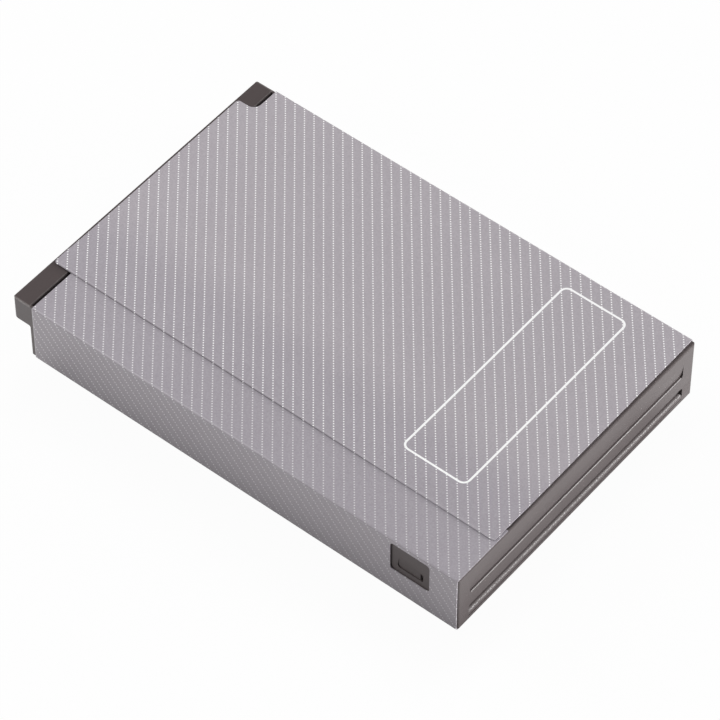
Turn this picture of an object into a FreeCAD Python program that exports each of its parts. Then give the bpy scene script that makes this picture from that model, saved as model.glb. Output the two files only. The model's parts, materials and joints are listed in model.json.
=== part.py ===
import FreeCAD, Part
import math
import os

from FreeCAD import Vector

# Handheld terminal battery: a moulded tray and lid round one pouch cell, wrapped in a printed film.
# Millimetres. X runs along the battery, with the terminal end and its hook lip at -X and the grip
# end at +X. Y runs across it and Z is up. The origin is under the middle of the whole outline.

# Overall
BODY_LENGTH = 72.1
LIP_REACH = 2.8
WIDTH = 50.6
HEIGHT = 10.6

# Label film, and the layer of glue under it
FILM = 0.13
GLUE = 0.03
TOP_FOLD_R = 0.28
BOTTOM_FOLD_R = 0.6
SEAM_FROM_SIDE = 7.9
OVERLAP = 2.55
JOGGLE_GAP = 0.2
JOGGLE_RUN = 4.0
JOGGLE_R = 20.0
LABEL_LIP_INSET = 0.42
LABEL_TERMINAL_INSET = 0.66
LABEL_GRIP_INSET = 0.62
LABEL_SEAM_INSET = 0.44
LABEL_NEAR_INSET = 0.12
LABEL_CORNER_R = 0.5
CORNER_NOTCH_WIDTH = 4.65
CORNER_NOTCH_R = 1.3

# Case walls
FLOOR = 0.8
SIDE_WALL = 1.2
TERMINAL_WALL = 1.4
GRIP_WALL = 1.8
LID = 0.6
CAVITY_R = 1.0

# Hook lip, and the groove between the lip's rim and the lid
LIP_DEPTH = 4.05
LIP_RIM = 2.95
RIM_EDGE_R = 0.2
GROOVE = 0.55
GROOVE_DEPTH = 1.2
GROOVE_END_WALL = 0.4
LID_SEAT = 0.7
LID_END_GAP = 0.1
LID_RIB = 0.6
LID_RIB_LENGTH = 30.0
LID_RIB_GAP = 0.1

# Rounding of the case's outer edges
LIP_TOP_R = 0.15
LIP_UNDER_R = 0.7
LIP_ROOT_R = 0.3
TERMINAL_FOOT_R = 0.4
GRIP_TOP_R = 0.25
GRIP_FOOT_R = 0.1
UPRIGHT_R = 0.45

# Ramped grip recess in the grip end
RAMP_DROP = 2.2
RAMP_HEIGHT = 2.5
RAMP_DEPTH = 0.3
RAMP_BEND_DROP = 1.2
RAMP_BEND_DEPTH = 0.06
RAMP_BEND_R = 12.0
RAMP_SIDE_INSET = 2.45
RAMP_END_R = 0.6
LEDGE_EDGE_R = 0.2

# Slot below it, and a fine groove below the slot
SLOT_RISE = 1.69
SLOT_HEIGHT = 1.31
SLOT_DEPTH = 0.7
SLOT_SIDE_INSET = 2.3
SLOT_R = 0.5
SLOT_INNER_R = 0.3
SLOT_EDGE_R = 0.55
FOOT_LINE_RISE = 0.68
FOOT_LINE_HEIGHT = 0.14
FOOT_LINE_DEPTH = 0.1

# Window in the label, and the recess, latch notch and pit in the wall behind it
WINDOW_FROM_GRIP = 4.5
WINDOW_LENGTH = 6.35
WINDOW_HEIGHT = 5.34
WINDOW_DROP = 0.62
WINDOW_R = 0.55
PLATE_RECESS = 0.1
NOTCH_LENGTH = 4.2
NOTCH_TAPER = 0.3
NOTCH_LEDGE_RISE = 0.9
NOTCH_HEIGHT = 2.0
NOTCH_DEPTH = 0.15
NOTCH_END_R = 0.5
NOTCH_OFFSET = 0.1
PIT_WIDTH = 0.5
PIT_HEIGHT = 1.4
PIT_DEPTH = 0.4
PIT_R = 0.2

# Terminal contacts
CONTACT_COUNT = 5
CONTACT_PITCH = 4.2
CONTACT_WIDTH = 2.2
CONTACT_HEIGHT = 3.0
CONTACT_R = 0.25
CONTACT_RECESS = 0.4
CONTACT_FLANGE = 0.4
CONTACT_FLANGE_T = 0.3
CONTACT_EDGE = 0.2
CONTACT_GAP = 0.15
CONTACT_WALL_GAP = 0.1
WINDOW_FLARE = 0.25

# Board, and the parts in a row on its back
BOARD = 0.8
BOARD_R = 0.5
BOARD_TOP_GAP = 1.0
BOARD_MARGIN = 0.95
PART_GAP = 0.5
PART_ROW_RISE = 4.3
RESISTOR_COUNT = 5
RESISTOR_PITCH = 1.3
RESISTOR_ROW_RISE = 1.2
CHIP_LENGTH = 1.6
CHIP_WIDTH = 0.8
CHIP_HEIGHT = 0.7
CHIP_CAP = 0.3
CHIP_CAP_PROUD = 0.04
TRANSISTOR_SIZE = (5.0, 3.0, 0.9)
PROTECTION_SIZE = (2.9, 1.6, 1.0)
GAUGE_SIZE = (4.0, 2.5, 0.75)
SENSE_SIZE = (3.2, 1.6, 0.6)
LEAD_WIDTH = 0.4
LEAD_REACH = 0.5
LEAD_HEIGHT = 0.25
LEAD_COUNT = 3
CHIP_EDGE = 0.12

# Posts that hold the board's ends
POST_WIDTH = 1.6
POST_GRIP = 0.6
POST_BACK = 0.8
POST_HEIGHT = 5.0
POST_GAP = 0.05

# Cell
BOARD_BAY = 7.3
CELL_SIDE_GAP = 0.3
SWELL_GAP = 0.35
CELL_EDGE_R = 1.2
SEAL = 0.35
SEAL_HEIGHT = 5.0
TERRACE = 3.6
TERRACE_T = 0.4
TERRACE_SIDE_INSET = 3.0
TAPE = 0.15
TAPE_WIDTH = 8.0
TAPE_END_INSET = 5.0
TAPE_SIDE_INSET = 5.6
FOAM = 0.9
FOAM_SIDE_INSET = 5.0
FOAM_TOP_INSET = 1.3
SHEET = 0.2
SHEET_SIDE_INSET = 3.0

# Tabs, breaker and link strip
TAB_WIDTH = 4.0
TAB_T = 0.12
TAB_RISE = 0.2
TAB_CLIMB = 2.6
TAB_BEND_R = 0.3
TAB_END_GAP = 0.4
BREAKER_LENGTH = 5.2
BREAKER_WIDTH = 1.8
BREAKER_HEIGHT = 0.9
BREAKER_LEAD_WIDTH = 1.4
BREAKER_LEAD_REACH = 3.2
BREAKER_EDGE = 0.2

# Reach of a cutter past the face that it opens, and the distance under which two points are one
PAST = 1.0
SAME_POINT = 0.00001

# Places along X
x_tip = -(BODY_LENGTH + LIP_REACH) / 2
x_terminal = x_tip + LIP_REACH
x_grip = x_terminal + BODY_LENGTH
x_rim = x_tip + LIP_RIM
x_lid_start = x_rim + GROOVE
x_cavity_start = x_terminal + TERMINAL_WALL
x_cavity_end = x_grip - GRIP_WALL
x_lid_end = x_cavity_end + LID_SEAT
x_board = x_cavity_start + CONTACT_WALL_GAP + CONTACT_FLANGE_T
x_board_back = x_board + BOARD
x_cell_start = x_cavity_start + BOARD_BAY
x_cell_end = x_cavity_end - FOAM
x_terrace = x_cell_start - TERRACE

# Places across Y
y_side = WIDTH / 2
y_case = y_side - FILM - GLUE
y_cavity = y_case - SIDE_WALL
y_cell = y_cavity - CELL_SIDE_GAP
y_seam = SEAM_FROM_SIDE - y_side
y_flap = y_seam + OVERLAP

# Heights
z_case = FILM + GLUE
z_case_top = HEIGHT - 2 * (FILM + GLUE)
z_floor = z_case + FLOOR
z_lid = z_case_top - LID
z_lip = z_case_top - LIP_DEPTH
z_film_top = z_case_top + GLUE + FILM
z_cell = z_floor + TAPE
z_cell_top = z_lid - SWELL_GAP
z_tab = z_floor + TAB_RISE
z_board_top = z_lid - BOARD_TOP_GAP
z_part_row = z_floor + PART_ROW_RISE
z_resistor_row = z_floor + RESISTOR_ROW_RISE
z_contact = (z_case + z_lip) / 2
z_window_top = z_film_top - WINDOW_DROP
z_window = z_window_top - WINDOW_HEIGHT
x_window_end = x_grip - WINDOW_FROM_GRIP
x_window = x_window_end - WINDOW_LENGTH


# Shape helpers
def block(x0, x1, y0, y1, z0, z1):
    return Part.makeBox(x1 - x0, y1 - y0, z1 - z0, Vector(x0, y0, z0))


def rounded_wire(corners, place):
    """Closed wire through corners (u, v, radius); place turns u, v into a point."""
    rounds = []
    for i, (u, v, radius) in enumerate(corners):
        here = Vector(u, v, 0)
        if radius == 0:
            rounds.append((here, here, here))
            continue
        before = corners[i - 1]
        after = corners[(i + 1) % len(corners)]
        back = (Vector(before[0], before[1], 0) - here).normalize()
        ahead = (Vector(after[0], after[1], 0) - here).normalize()
        half_angle = back.getAngle(ahead) / 2
        reach = radius / math.tan(half_angle)
        inward = (back + ahead).normalize()
        middle = here + inward * (radius / math.sin(half_angle) - radius)
        rounds.append((here + back * reach, middle, here + ahead * reach))
    edges = []
    for i, (start, middle, end) in enumerate(rounds):
        if start != end:
            edges.append(Part.Arc(place(start), place(middle), place(end)).toShape())
        after = rounds[(i + 1) % len(rounds)][0]
        if end.distanceToPoint(after) > SAME_POINT:
            edges.append(Part.makeLine(place(end), place(after)))
    return Part.Wire(edges)


def prism_x(corners, x0, x1):
    wire = rounded_wire(corners, lambda p: Vector(x0, p.x, p.y))
    return Part.Face(wire).extrude(Vector(x1 - x0, 0, 0))


def prism_y(corners, y0, y1):
    wire = rounded_wire(corners, lambda p: Vector(p.x, y0, p.y))
    return Part.Face(wire).extrude(Vector(0, y1 - y0, 0))


def prism_z(corners, z0, z1):
    wire = rounded_wire(corners, lambda p: Vector(p.x, p.y, z0))
    return Part.Face(wire).extrude(Vector(0, 0, z1 - z0))


def rectangle(u0, u1, v0, v1, radius):
    return [(u0, v0, radius), (u1, v0, radius), (u1, v1, radius), (u0, v1, radius)]


def upright_edges(shape, x, y):
    """Edges along Z that stand at x, y."""
    found = []
    for edge in shape.Edges:
        first = edge.Vertexes[0].Point
        last = edge.Vertexes[-1].Point
        stands = abs(first.z - last.z) > SAME_POINT
        if stands and max(math.dist((x, y), (end.x, end.y)) for end in (first, last)) < SAME_POINT:
            found.append(edge)
    return found


# Contact rows
def contact_places():
    first = -CONTACT_PITCH * (CONTACT_COUNT - 1) / 2
    return [first + i * CONTACT_PITCH for i in range(CONTACT_COUNT)]


def contact_outline(y, spread):
    half_width = CONTACT_WIDTH / 2 + spread
    half_height = CONTACT_HEIGHT / 2 + spread
    z0 = z_contact - half_height
    z1 = z_contact + half_height
    return rectangle(y - half_width, y + half_width, z0, z1, CONTACT_R)


# The row of parts on the board's back: each has a width of its own, and the row sets the board's width
PART_ROW = [
    ("thermistor", CHIP_WIDTH),
    ("negative_pad", TAB_WIDTH),
    ("capacitor_1", CHIP_WIDTH),
    ("switch_transistor", TRANSISTOR_SIZE[0]),
    ("capacitor_2", CHIP_WIDTH),
    ("link_pad", TAB_WIDTH),
    ("capacitor_3", CHIP_WIDTH),
    ("protection_chip", PROTECTION_SIZE[0]),
    ("capacitor_4", CHIP_WIDTH),
    ("gauge_chip", GAUGE_SIZE[0]),
    ("sense_resistor", SENSE_SIZE[0]),
]
row_length = sum(width for name, width in PART_ROW) + PART_GAP * (len(PART_ROW) - 1)
y_board = row_length / 2 + BOARD_MARGIN
part_y = {}
row_place = -row_length / 2
for part_name, part_width in PART_ROW:
    part_y[part_name] = row_place + part_width / 2
    row_place += part_width + PART_GAP


# Case
def case_outside():
    side_view = [
        (x_terminal, z_case, TERMINAL_FOOT_R),
        (x_grip, z_case, GRIP_FOOT_R),
        (x_grip, z_case_top, GRIP_TOP_R),
        (x_tip, z_case_top, LIP_TOP_R),
        (x_tip, z_lip, LIP_UNDER_R),
        (x_terminal, z_lip, LIP_ROOT_R),
    ]
    bottom_r = BOTTOM_FOLD_R - FILM - GLUE
    top_r = TOP_FOLD_R - FILM - GLUE
    end_view = [
        (-y_case, z_case, bottom_r),
        (y_case, z_case, bottom_r),
        (y_case, z_case_top, top_r),
        (-y_case, z_case_top, top_r),
    ]
    plan_view = rectangle(x_tip, x_grip, -y_case, y_case, UPRIGHT_R)
    solid = prism_y(side_view, -y_case, y_case)
    solid = solid.common(prism_x(end_view, x_tip, x_grip))
    return solid.common(prism_z(plan_view, z_case, z_case_top))


def ledge(x, z, edge_r):
    """Corners of a cutter where it runs out over a ledge whose front edge, at x, z, is rounded."""
    return [(x, z, edge_r), (x, z - edge_r, 0)]


def grip_recess():
    """Cutter for the recess: a ramp that bends inwards on its way down to a ledge."""
    z_top = z_case_top - RAMP_DROP
    z_ledge = z_top - RAMP_HEIGHT
    z_out = z_ledge - LEDGE_EDGE_R
    y_end = y_case - RAMP_SIDE_INSET
    x_past = x_grip + PAST
    z_past = z_top + PAST
    lead_in = RAMP_BEND_DEPTH / RAMP_BEND_DROP
    ramp = [(x_grip - RAMP_DEPTH, z_ledge, 0)]
    ramp += ledge(x_grip, z_ledge, LEDGE_EDGE_R)
    ramp += [
        (x_past, z_out, 0),
        (x_past, z_past, 0),
        (x_grip + lead_in * PAST, z_past, 0),
        (x_grip - RAMP_BEND_DEPTH, z_top - RAMP_BEND_DROP, RAMP_BEND_R),
    ]
    ends = rectangle(-y_end, y_end, z_out, z_past, 0)
    ends[0] = (-y_end, z_out, RAMP_END_R)
    ends[1] = (y_end, z_out, RAMP_END_R)
    return prism_y(ramp, -y_end, y_end).common(prism_x(ends, x_grip - RAMP_DEPTH, x_past))


def grip_slot():
    """Cutter for the slot, whose bottom runs out over a rounded edge."""
    z_slot = z_case + SLOT_RISE
    z_slot_top = z_slot + SLOT_HEIGHT
    z_out = z_slot - SLOT_EDGE_R
    x_deep = x_grip - SLOT_DEPTH
    x_past = x_grip + PAST
    y_end = y_case - SLOT_SIDE_INSET
    profile = [(x_deep, z_slot, SLOT_INNER_R)]
    profile += ledge(x_grip, z_slot, SLOT_EDGE_R)
    profile += rectangle(x_deep, x_past, z_out, z_slot_top, 0)[1:]
    ends = rectangle(-y_end, y_end, z_out, z_slot_top, SLOT_R)
    return prism_y(profile, -y_end, y_end).common(prism_x(ends, x_deep, x_past))


def foot_line():
    """Cutter for the fine groove that runs under the slot."""
    y_end = y_case - SLOT_SIDE_INSET
    z0 = z_case + FOOT_LINE_RISE
    return block(x_grip - FOOT_LINE_DEPTH, x_grip + PAST, -y_end, y_end, z0, z0 + FOOT_LINE_HEIGHT)


def window_outline():
    return rectangle(x_window, x_window_end, z_window, z_window_top, WINDOW_R)


def window_recess():
    """Cutter for the shallow recess behind the label's window."""
    return prism_y(window_outline(), -y_side, -y_case + PLATE_RECESS)


def latch_notch():
    """Cutter for the notch: a wedge that is deepest at its ledge, with a pit at its grip end."""
    middle = (x_window + x_window_end) / 2 - NOTCH_OFFSET
    y_plate = -y_case + PLATE_RECESS
    y_out = y_plate - NOTCH_DEPTH
    y_deep = y_plate + NOTCH_DEPTH
    z_ledge = z_window + NOTCH_LEDGE_RISE
    z_past = z_ledge + 2 * NOTCH_HEIGHT
    wedge = [(y_deep, z_ledge, 0), (y_out, z_past, 0), (y_out, z_ledge, 0)]
    half = NOTCH_LENGTH / 2
    half_past = half - 2 * NOTCH_TAPER
    outline = [
        (middle - half, z_ledge, NOTCH_END_R),
        (middle + half, z_ledge, NOTCH_END_R),
        (middle + half_past, z_past, 0),
        (middle - half_past, z_past, 0),
    ]
    notch = prism_x(wedge, middle - half, middle + half).common(prism_y(outline, y_out, y_deep))
    pit = rectangle(middle + half - PIT_WIDTH, middle + half, z_ledge, z_ledge + PIT_HEIGHT, PIT_R)
    return notch.fuse(prism_y(pit, y_out, y_plate + PIT_DEPTH))


def contact_window(y):
    inner = contact_outline(y, CONTACT_GAP)
    outer = contact_outline(y, CONTACT_GAP + WINDOW_FLARE)
    straight = prism_x(inner, x_terminal, x_cavity_start)
    narrow = rounded_wire(inner, lambda p: Vector(x_terminal + WINDOW_FLARE, p.x, p.y))
    wide = rounded_wire(outer, lambda p: Vector(x_terminal, p.x, p.y))
    return straight.fuse(Part.makeLoft([narrow, wide], True, True))


def board_post(side):
    y0 = y_board - POST_GRIP
    y1 = y0 + POST_WIDTH
    z1 = z_floor + POST_HEIGHT
    post = block(x_cavity_start, x_board_back + POST_GAP + POST_BACK, y0, y1, z_floor, z1)
    slot = block(x_board - POST_GAP, x_board_back + POST_GAP, y0, y_board + POST_GAP, z_floor, z1)
    post = post.cut(slot)
    if side < 0:
        post = post.mirror(Vector(0, 0, 0), Vector(0, 1, 0))
    return post


def lid_bed():
    """Cutter for the lid's bed, and for the deeper groove along the lip's rim between its end walls."""
    z_groove = z_case_top - GROOVE_DEPTH
    z_past = z_case_top + PAST
    x_edge = x_rim - RIM_EDGE_R
    y_end = y_case - GROOVE_END_WALL
    groove = [
        (x_rim, z_groove, 0),
        (x_lid_start, z_groove, 0),
        (x_lid_start, z_past, 0),
        (x_edge, z_past, 0),
        (x_edge, z_case_top, 0),
        (x_rim, z_case_top, RIM_EDGE_R),
    ]
    bed = block(x_lid_start, x_lid_end + LID_END_GAP, -y_side, y_side, z_lid, z_past)
    return bed.fuse(prism_y(groove, -y_end, y_end))


def make_case_tray():
    tray = case_outside()
    cavity = rectangle(x_cavity_start, x_cavity_end, -y_cavity, y_cavity, CAVITY_R)
    tray = tray.cut(prism_z(cavity, z_floor, z_case_top + PAST))
    tray = tray.cut(lid_bed())
    tray = tray.cut(grip_recess())
    tray = tray.cut(grip_slot())
    tray = tray.cut(foot_line())
    tray = tray.cut(window_recess())
    tray = tray.cut(latch_notch())
    for y in contact_places():
        tray = tray.cut(contact_window(y))
    for side in (-1, 1):
        tray = tray.fuse(board_post(side))
    return tray.removeSplitter()


def make_case_lid():
    top_r = TOP_FOLD_R - FILM - GLUE
    section = rectangle(-y_case, y_case, z_lid, z_case_top, top_r)
    section[0] = (-y_case, z_lid, 0)
    section[1] = (y_case, z_lid, 0)
    lid = prism_x(section, x_lid_start, x_lid_end)
    half = LID_RIB_LENGTH / 2
    x_front = x_cavity_start + LID_RIB_GAP
    x_back = x_cavity_end - LID_RIB_GAP
    for x0, x1 in ((x_front, x_front + LID_RIB), (x_back - LID_RIB, x_back)):
        lid = lid.fuse(block(x0, x1, -half, half, z_lid - LID_RIB, z_lid))
    return lid.cut(window_recess()).removeSplitter()


# Label
def label_ribbon():
    """One turn of film round the case, all the way along, with its end over its own start."""
    z_double = HEIGHT
    z_double_in = z_double - FILM
    z_in = z_film_top - FILM
    y_in = y_side - FILM
    top_in_r = TOP_FOLD_R - FILM
    bottom_in_r = BOTTOM_FOLD_R - FILM
    y_up = y_flap + JOGGLE_GAP
    y_down = y_up + JOGGLE_RUN
    section = [
        (y_flap, z_film_top, 0),
        (-y_side, z_film_top, TOP_FOLD_R),
        (-y_side, 0, BOTTOM_FOLD_R),
        (y_side, 0, BOTTOM_FOLD_R),
        (y_side, z_film_top, TOP_FOLD_R),
        (y_down, z_film_top, JOGGLE_R),
        (y_up, z_double, JOGGLE_R),
        (y_seam, z_double, 0),
        (y_seam, z_double_in, 0),
        (y_up, z_double_in, JOGGLE_R),
        (y_down, z_in, JOGGLE_R),
        (y_in, z_in, top_in_r),
        (y_in, FILM, bottom_in_r),
        (-y_in, FILM, bottom_in_r),
        (-y_in, z_in, top_in_r),
        (y_flap, z_in, 0),
    ]
    return prism_x(section, x_tip + LABEL_LIP_INSET, x_grip - LABEL_NEAR_INSET)


def label_grip_edge(y):
    """Where the label's top panel stops at the grip end, which changes from the seam to the far side."""
    share = (y - y_seam) / (y_side - y_seam)
    return x_grip - LABEL_SEAM_INSET - (LABEL_GRIP_INSET - LABEL_SEAM_INSET) * share


def make_label_wrap():
    label = label_ribbon()
    z_between = z_film_top + GLUE / 2
    z_below = z_case_top - TOP_FOLD_R
    z_above = HEIGHT + PAST
    y_between = y_flap + JOGGLE_GAP / 2
    y_past = y_side + PAST
    # Terminal end: all but the top panel stops short of the terminal wall
    x_start = x_terminal + LABEL_TERMINAL_INSET
    x_before = x_tip - PAST
    label = label.cut(block(x_before, x_start, -y_past, y_between, -PAST, z_between))
    label = label.cut(block(x_before, x_start, -y_past, y_past, -PAST, z_below))
    y_notch = y_side - CORNER_NOTCH_WIDTH
    notch = rectangle(x_before, x_start, y_notch, y_past, 0)
    notch[1] = (x_start, y_notch, CORNER_NOTCH_R)
    label = label.cut(prism_z(notch, z_below - PAST, z_above))
    # Grip end: the turn drifts under the floor and back over the top, so its edge runs aslant
    x_near = x_grip - LABEL_NEAR_INSET
    x_past = x_grip + PAST
    y_fold = y_side - BOTTOM_FOLD_R
    for y0, z0 in ((y_seam - PAST, z_between), (y_between, z_below), (y_fold, -PAST)):
        slant = [
            (x_past, y0, 0),
            (x_past, y_past, 0),
            (label_grip_edge(y_past), y_past, 0),
            (label_grip_edge(y0), y0, 0),
        ]
        label = label.cut(prism_z(slant, z0, z_above))
    drift = [
        (x_near, -y_fold, 0),
        (x_past, -y_fold, 0),
        (x_past, y_fold, 0),
        (label_grip_edge(y_fold), y_fold, 0),
    ]
    label = label.cut(prism_z(drift, -PAST, z_case))
    # Window over the latch notch
    label = label.cut(prism_y(window_outline(), -y_past, -y_case))
    corners = upright_edges(label, x_tip + LABEL_LIP_INSET, y_seam)
    corners += upright_edges(label, x_tip + LABEL_LIP_INSET, y_notch)
    corners += upright_edges(label, label_grip_edge(y_seam), y_seam)
    return label.makeFillet(LABEL_CORNER_R, corners)


# Cell and what holds it
def make_cell():
    y_body = y_cell - SEAL
    section = rectangle(-y_body, y_body, z_cell, z_cell_top, CELL_EDGE_R)
    plan = rectangle(x_cell_start, x_cell_end, -y_body, y_body, CELL_EDGE_R)
    cell = prism_x(section, x_cell_start, x_cell_end).common(prism_z(plan, z_cell, z_cell_top))
    y_terrace = y_cell - TERRACE_SIDE_INSET
    x_inside = x_cell_start + CELL_EDGE_R + TERRACE_T
    cell = cell.fuse(block(x_terrace, x_inside, -y_terrace, y_terrace, z_cell, z_cell + TERRACE_T))
    z_seal = z_cell + CELL_EDGE_R
    x0 = x_cell_start + CELL_EDGE_R
    x1 = x_cell_end - CELL_EDGE_R
    seal = rectangle(x0, x1, z_seal, z_seal + SEAL_HEIGHT, SEAL)
    for y0 in (-y_cell, y_body):
        cell = cell.fuse(prism_y(seal, y0, y0 + SEAL))
    return cell.removeSplitter()


def make_floor_tape(side):
    y_outer = y_cell - TAPE_SIDE_INSET
    y0, y1 = sorted((side * y_outer, side * (y_outer - TAPE_WIDTH)))
    x0 = x_cell_start + TAPE_END_INSET
    x1 = x_cell_end - TAPE_END_INSET
    return block(x0, x1, y0, y1, z_floor, z_cell)


def make_foam_pad():
    y_foam = y_cell - FOAM_SIDE_INSET
    return block(x_cell_end, x_cavity_end, -y_foam, y_foam, z_floor, z_cell_top - FOAM_TOP_INSET)


def make_insulation_sheet():
    y_sheet = y_cell - SHEET_SIDE_INSET
    sheet = rectangle(-y_sheet, y_sheet, z_cell + CELL_EDGE_R, z_cell_top - CELL_EDGE_R, CHIP_WIDTH)
    return prism_x(sheet, x_cell_start - SHEET, x_cell_start)


# Tabs and breaker
def climbing_strip(y, x_start):
    """Strip that lies at the tab's height and turns up the board's back."""
    profile = [
        (x_start, z_tab, 0),
        (x_start, z_tab + TAB_T, 0),
        (x_board_back + TAB_T, z_tab + TAB_T, TAB_BEND_R),
        (x_board_back + TAB_T, z_tab + TAB_CLIMB, 0),
        (x_board_back, z_tab + TAB_CLIMB, 0),
        (x_board_back, z_tab, TAB_BEND_R + TAB_T),
    ]
    return prism_y(profile, y - TAB_WIDTH / 2, y + TAB_WIDTH / 2)


def make_tab_negative():
    return climbing_strip(part_y["negative_pad"], x_terrace)


def make_link_strip():
    return climbing_strip(part_y["link_pad"], x_terrace - TAB_END_GAP)


def breaker_start():
    return part_y["link_pad"] + TAB_WIDTH / 2 + PART_GAP


def make_breaker():
    y0 = breaker_start()
    y1 = y0 + BREAKER_LENGTH
    z0 = z_tab + TAB_T
    x_middle = (x_board_back + x_terrace) / 2
    half = BREAKER_WIDTH / 2
    body = block(x_middle - half, x_middle + half, y0, y1, z0, z0 + BREAKER_HEIGHT)
    body = body.makeChamfer(BREAKER_EDGE, [edge for edge in body.Edges if edge.BoundBox.ZMin > z0])
    half = BREAKER_LEAD_WIDTH / 2
    y0 -= BREAKER_LEAD_REACH
    y1 += BREAKER_LEAD_REACH
    leads = block(x_middle - half, x_middle + half, y0, y1, z0, z0 + TAB_T)
    return body.fuse(leads).removeSplitter()


def make_tab_positive():
    y0 = breaker_start() + BREAKER_LENGTH + PART_GAP
    return block(x_board_back + TAB_END_GAP, x_terrace, y0, y0 + TAB_WIDTH, z_tab, z_tab + TAB_T)


# Board and its parts
def make_board():
    outline = rectangle(-y_board, y_board, z_floor, z_board_top, BOARD_R)
    return prism_x(outline, x_board, x_board_back)


def make_contact(y):
    flange = prism_x(contact_outline(y, CONTACT_FLANGE), x_board - CONTACT_FLANGE_T, x_board)
    pad = prism_x(contact_outline(y, 0), x_terminal + CONTACT_RECESS, x_board)
    face = [edge for edge in pad.Edges if edge.BoundBox.XMax < x_terminal + CONTACT_RECESS + CONTACT_EDGE]
    pad = pad.makeChamfer(CONTACT_EDGE, face)
    return flange.fuse(pad).removeSplitter()


def chip_part(y, z):
    """Two-pad chip that stands along Z on the board's back, with end caps a little proud of it."""
    half_y = CHIP_WIDTH / 2
    half_z = CHIP_LENGTH / 2
    proud = CHIP_CAP_PROUD
    x_top = x_board_back + CHIP_HEIGHT
    chip = block(x_board_back, x_top - proud, y - half_y + proud, y + half_y - proud, z - half_z, z + half_z)
    for z0 in (z - half_z, z + half_z - CHIP_CAP):
        cap = block(x_board_back, x_top, y - half_y, y + half_y, z0, z0 + CHIP_CAP)
        chip = chip.fuse(cap)
    return chip.removeSplitter()


def moulded_part(y, size):
    """Moulded package flat on the board's back, with leads at both sides."""
    width, length, height = size
    body = flat_part(y, size)
    pitch = width / LEAD_COUNT
    z_reach = length / 2 + LEAD_REACH
    z0 = z_part_row - z_reach
    z1 = z_part_row + z_reach
    for i in range(LEAD_COUNT):
        y0 = y + (i - (LEAD_COUNT - 1) / 2) * pitch - LEAD_WIDTH / 2
        lead = block(x_board_back, x_board_back + LEAD_HEIGHT, y0, y0 + LEAD_WIDTH, z0, z1)
        body = body.fuse(lead)
    return body.removeSplitter()


def flat_part(y, size):
    """Leadless package flat on the board's back, with its top edges chamfered."""
    width, length, height = size
    x_top = x_board_back + height
    z0 = z_part_row - length / 2
    body = block(x_board_back, x_top, y - width / 2, y + width / 2, z0, z0 + length)
    top = [edge for edge in body.Edges if edge.BoundBox.XMin > x_top - CHIP_EDGE]
    return body.makeChamfer(CHIP_EDGE, top)


def make_pieces():
    pieces = {
        "case_tray": make_case_tray(),
        "case_lid": make_case_lid(),
        "label_wrap": make_label_wrap(),
        "cell": make_cell(),
        "insulation_sheet": make_insulation_sheet(),
        "foam_pad": make_foam_pad(),
        "floor_tape_1": make_floor_tape(-1),
        "floor_tape_2": make_floor_tape(1),
        "tab_negative": make_tab_negative(),
        "tab_positive": make_tab_positive(),
        "breaker": make_breaker(),
        "link_strip": make_link_strip(),
        "board": make_board(),
        "switch_transistor": moulded_part(part_y["switch_transistor"], TRANSISTOR_SIZE),
        "protection_chip": moulded_part(part_y["protection_chip"], PROTECTION_SIZE),
        "gauge_chip": flat_part(part_y["gauge_chip"], GAUGE_SIZE),
        "sense_resistor": flat_part(part_y["sense_resistor"], SENSE_SIZE),
        "thermistor": chip_part(part_y["thermistor"], z_part_row),
    }
    for i, y in enumerate(contact_places()):
        pieces["contact_%d" % (i + 1)] = make_contact(y)
    for name in part_y:
        if name.startswith("capacitor"):
            pieces[name] = chip_part(part_y[name], z_part_row)
    first = part_y["switch_transistor"] - TRANSISTOR_SIZE[0] / 2 + CHIP_WIDTH / 2
    for i in range(RESISTOR_COUNT):
        y = first + i * RESISTOR_PITCH
        pieces["resistor_%d" % (i + 1)] = chip_part(y, z_resistor_row)
    return pieces


os.makedirs("parts", exist_ok=True)
for node, shape in make_pieces().items():
    shape.exportStep("parts/%s.step" % node)
    print(node, shape.isValid(), len(shape.Solids), round(shape.Volume, 3))
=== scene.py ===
# %% [markdown]
# # Handheld terminal battery
#
# A flat battery pack: a dark moulded case with a hook lip at its terminal end, wrapped once in a
# printed film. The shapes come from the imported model, in metres and in its own frame: X runs from
# the hook lip to the grip end, Y runs across and Z is up. This file adds the finishes, the light
# and the camera, one short step at a time.

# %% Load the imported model
import json
import math

import bpy
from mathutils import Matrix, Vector


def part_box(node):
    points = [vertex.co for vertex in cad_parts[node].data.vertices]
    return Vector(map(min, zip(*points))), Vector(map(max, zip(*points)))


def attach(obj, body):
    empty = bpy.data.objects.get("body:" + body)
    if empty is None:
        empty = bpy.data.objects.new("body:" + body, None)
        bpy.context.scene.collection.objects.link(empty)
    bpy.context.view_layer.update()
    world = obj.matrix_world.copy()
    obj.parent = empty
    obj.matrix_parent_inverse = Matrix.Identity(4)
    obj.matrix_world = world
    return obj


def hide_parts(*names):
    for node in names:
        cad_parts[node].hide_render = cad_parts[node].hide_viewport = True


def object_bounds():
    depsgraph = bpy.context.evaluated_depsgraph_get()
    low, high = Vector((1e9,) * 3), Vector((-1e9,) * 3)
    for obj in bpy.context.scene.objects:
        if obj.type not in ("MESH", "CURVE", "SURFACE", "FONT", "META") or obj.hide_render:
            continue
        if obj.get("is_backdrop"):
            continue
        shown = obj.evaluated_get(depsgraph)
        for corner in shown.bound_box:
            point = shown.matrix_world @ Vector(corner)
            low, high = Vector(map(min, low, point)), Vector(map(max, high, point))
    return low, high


MM = 0.001
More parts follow.
